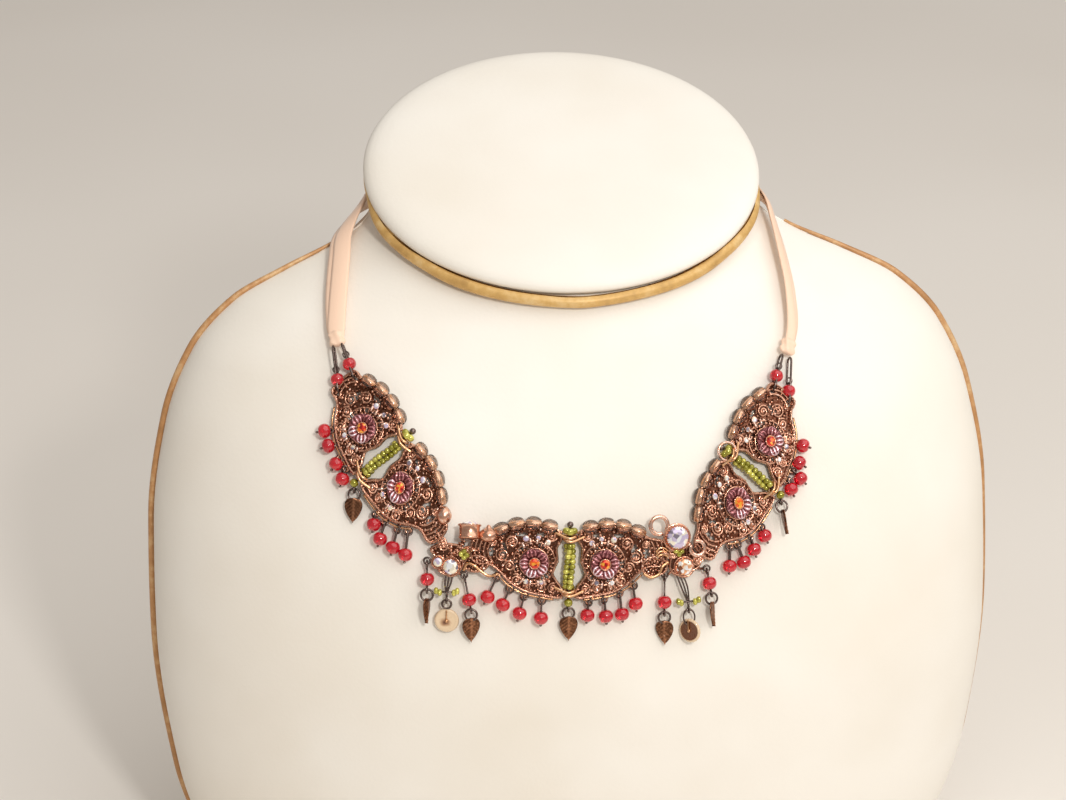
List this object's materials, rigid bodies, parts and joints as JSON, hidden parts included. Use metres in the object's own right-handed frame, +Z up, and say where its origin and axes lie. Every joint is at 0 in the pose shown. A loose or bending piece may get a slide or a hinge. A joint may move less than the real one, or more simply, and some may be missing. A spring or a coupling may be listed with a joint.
{
  "type": "choker on a neck bust stand",
  "caption": "Ribbon choker of pierced copper links with glass bead bars, flowers, red bead fringe and leaf charms, on a plain neck bust stand.",
  "frame": {"origin": "middle of the whole part's box on the surface that the bust stands on", "axes": "+Z up, the choker's front towards -Y, the wearer's left towards +X"},
  "size_m": [0.2388, 0.142, 0.2123],
  "materials": {
    "leatherette": "off-white leatherette, soft sheen",
    "gold_piping": "ochre gold leatherette piping, soft sheen",
    "satin": "salmon satin ribbon",
    "antique_copper": "antique copper, cast and darkened",
    "dark_copper": "dark browned copper",
    "petal_copper": "reddish copper petals round an orange crystal",
    "olive_glass": "olive seed beads with silver lining",
    "red_glass": "red glass beads, glossy",
    "clear_stone": "clear cut crystal in a copper cup",
    "shell": "shell disc, satin"
  },
  "bodies": {
    "root": {"bust_form": "leatherette", "neck_cap": "leatherette", "cap_piping": "gold_piping", "seam_piping_left": "gold_piping", "seam_piping_right": "gold_piping", "ribbon_left": "satin", "ribbon_right": "satin", "ribbon_knot": "satin", "link_1": "antique_copper", "flower_1": "petal_copper", "fringe_1": "red_glass", "end_loop_1_upper": "dark_copper", "end_loop_1_lower": "dark_copper", "link_2": "antique_copper", "flower_2": "petal_copper", "fringe_2": "red_glass", "link_3": "antique_copper", "flower_3": "petal_copper", "fringe_3": "red_glass", "link_4": "antique_copper", "flower_4": "petal_copper", "fringe_4": "red_glass", "link_5": "antique_copper", "flower_5": "petal_copper", "fringe_5": "red_glass", "link_6": "antique_copper", "flower_6": "petal_copper", "fringe_6": "red_glass", "end_loop_6_upper": "dark_copper", "end_loop_6_lower": "dark_copper", "bar_left": "olive_glass", "leaf_bar_left": "dark_copper", "bar_front": "olive_glass", "leaf_bar_front": "dark_copper", "bar_right": "olive_glass", "leaf_bar_right": "dark_copper", "connector_left": "antique_copper", "crystal_left": "clear_stone", "red_drop_left_inner": "red_glass", "leaf_left_inner": "dark_copper", "red_drop_left_outer": "red_glass", "leaf_left_outer": "dark_copper", "disc_left": "shell", "connector_right": "antique_copper", "crystal_right": "clear_stone", "red_drop_right_inner": "red_glass", "leaf_right_inner": "dark_copper", "red_drop_right_outer": "red_glass", "leaf_right_outer": "dark_copper", "disc_right": "shell"}
  },
  "joints": []
}
